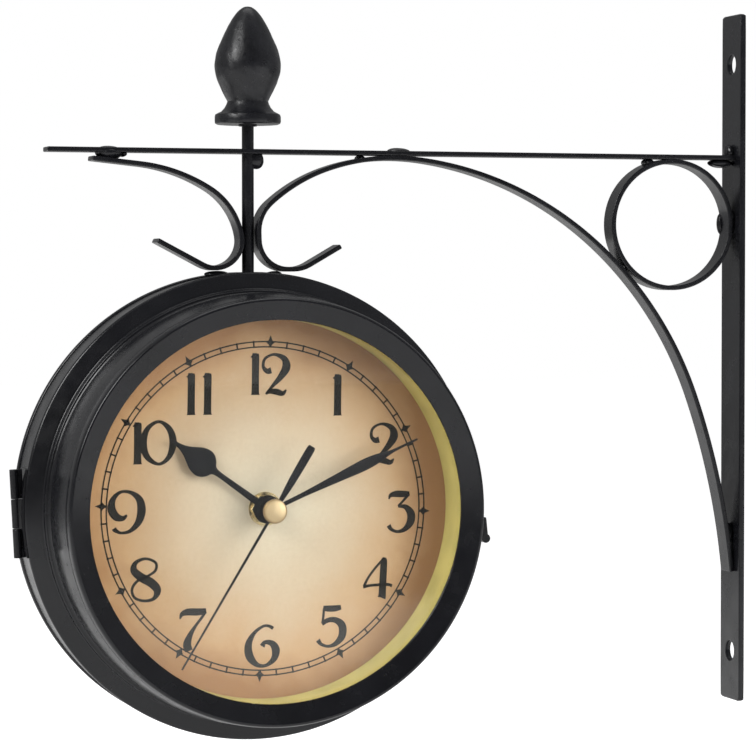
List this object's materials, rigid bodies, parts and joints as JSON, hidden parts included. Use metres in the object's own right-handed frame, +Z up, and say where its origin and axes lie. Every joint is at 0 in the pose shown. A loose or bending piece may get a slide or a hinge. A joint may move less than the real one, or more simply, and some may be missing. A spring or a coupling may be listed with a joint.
{
  "type": "double sided station clock",
  "caption": "Double sided station clock on a black scrolled wall bracket, with a hinged glazed front and a quartz movement behind each dial",
  "frame": {"origin": "on the wall plane, on the bracket's middle plane, midway between the two screw holes of the wall bar", "axes": "+X points into the wall, the clock hangs on the -X side; +Y points from the front dial to the rear dial; +Z is up"},
  "size_m": [0.324, 0.104, 0.3064],
  "materials": {
    "black_painted_steel": "satin black paint over bent and spun mild steel",
    "black_cast_iron": "satin black paint over a slightly rough casting",
    "clear_glass": "clear, flat, polished",
    "olive_plastic": "matt, olive yellow",
    "printed_card": "aged parchment print on stiff card",
    "bright_steel": "bright zinc plated",
    "black_plastic": "moulded, fine matt",
    "dark_plastic": "circuit board and wound coil",
    "cell_jacket": "plain printed jacket",
    "brass": "pale polished brass",
    "white_plastic": "moulded acetal",
    "black_aluminium": "matt black lacquer on thin sheet"
  },
  "bodies": {
    "bracket": {"wall_bar": "black_painted_steel", "top_bar": "black_painted_steel", "post": "black_painted_steel", "finial": "black_cast_iron", "left_scroll": "black_painted_steel", "arch_strip": "black_painted_steel", "support_ring": "black_painted_steel", "weld_beads": "black_painted_steel", "case_band": "black_painted_steel", "post_nut": "bright_steel", "hinge_case_leaf": "black_painted_steel", "hinge_pin": "bright_steel", "catch_bracket": "black_painted_steel", "catch_pin": "bright_steel", "rear_bezel": "black_painted_steel", "rear_lens": "clear_glass", "rear_depth_ring": "olive_plastic", "rear_dial": "printed_card", "rear_dial_clips": "bright_steel", "rear_movement_case": "black_plastic", "rear_movement_cover": "black_plastic", "rear_drive_unit": "dark_plastic", "rear_battery": "cell_jacket", "rear_battery_contacts": "bright_steel", "rear_bush_washer": "brass", "rear_bush_nut": "brass"},
    "front_door": {"front_bezel": "black_painted_steel", "front_lens": "clear_glass", "front_depth_ring": "olive_plastic", "front_dial": "printed_card", "front_dial_clips": "bright_steel", "front_movement_case": "black_plastic", "front_movement_cover": "black_plastic", "front_drive_unit": "dark_plastic", "front_battery": "cell_jacket", "front_battery_contacts": "bright_steel", "front_bush_washer": "brass", "front_bush_nut": "brass", "hinge_door_leaf": "black_painted_steel"},
    "catch": {"catch_lever": "black_painted_steel"},
    "front_hour": {"front_hour_wheel": "white_plastic", "front_hour_hand": "black_aluminium"},
    "front_minute": {"front_minute_arbor": "white_plastic", "front_minute_hand": "black_aluminium"},
    "front_second": {"front_second_arbor": "bright_steel", "front_second_hand": "black_aluminium", "front_centre_cap": "brass"},
    "front_setting": {"front_minute_wheel": "white_plastic", "front_setting_knob": "white_plastic"},
    "rear_hour": {"rear_hour_wheel": "white_plastic", "rear_hour_hand": "black_aluminium"},
    "rear_minute": {"rear_minute_arbor": "white_plastic", "rear_minute_hand": "black_aluminium"},
    "rear_second": {"rear_second_arbor": "bright_steel", "rear_second_hand": "black_aluminium", "rear_centre_cap": "brass"},
    "rear_setting": {"rear_minute_wheel": "white_plastic", "rear_setting_knob": "white_plastic"}
  },
  "joints": [
    {"name": "door_hinge", "type": "hinge", "parent": "bracket", "child": "front_door", "pos_m": [-0.32139, -0.009, -0.0605], "axis": [0.0506, 0, -0.9987], "range_deg": [0, 110]},
    {"name": "catch_pivot", "type": "hinge", "parent": "bracket", "child": "catch", "pos_m": [-0.1225, 0, -0.0604], "axis": [0, -1, 0], "range_deg": [0, 35]},
    {"name": "front_hour_turn", "type": "hinge", "parent": "front_door", "child": "front_hour", "pos_m": [-0.2215, -0.026, -0.0594], "axis": [0, 1, 0], "continuous": true},
    {"name": "front_minute_turn", "type": "hinge", "parent": "front_door", "child": "front_minute", "pos_m": [-0.2215, -0.026, -0.0594], "axis": [0, 1, 0], "continuous": true},
    {"name": "front_second_turn", "type": "hinge", "parent": "front_door", "child": "front_second", "pos_m": [-0.2215, -0.026, -0.0594], "axis": [0, 1, 0], "continuous": true},
    {"name": "front_setting_turn", "type": "hinge", "parent": "front_door", "child": "front_setting", "pos_m": [-0.2215, -0.026, -0.0474], "axis": [0, 1, 0], "continuous": true},
    {"name": "rear_hour_turn", "type": "hinge", "parent": "bracket", "child": "rear_hour", "pos_m": [-0.2215, 0.026, -0.0594], "axis": [0, -1, 0], "continuous": true},
    {"name": "rear_minute_turn", "type": "hinge", "parent": "bracket", "child": "rear_minute", "pos_m": [-0.2215, 0.026, -0.0594], "axis": [0, -1, 0], "continuous": true},
    {"name": "rear_second_turn", "type": "hinge", "parent": "bracket", "child": "rear_second", "pos_m": [-0.2215, 0.026, -0.0594], "axis": [0, -1, 0], "continuous": true},
    {"name": "rear_setting_turn", "type": "hinge", "parent": "bracket", "child": "rear_setting", "pos_m": [-0.2215, 0.026, -0.0474], "axis": [0, -1, 0], "continuous": true}
  ],
  "couplings": [
    {"joint": "front_hour_turn", "follows": "front_minute_turn", "ratio": 0.083333},
    {"joint": "front_setting_turn", "follows": "front_minute_turn", "ratio": -0.33333},
    {"joint": "rear_hour_turn", "follows": "rear_minute_turn", "ratio": 0.083333},
    {"joint": "rear_setting_turn", "follows": "rear_minute_turn", "ratio": -0.33333}
  ]
}
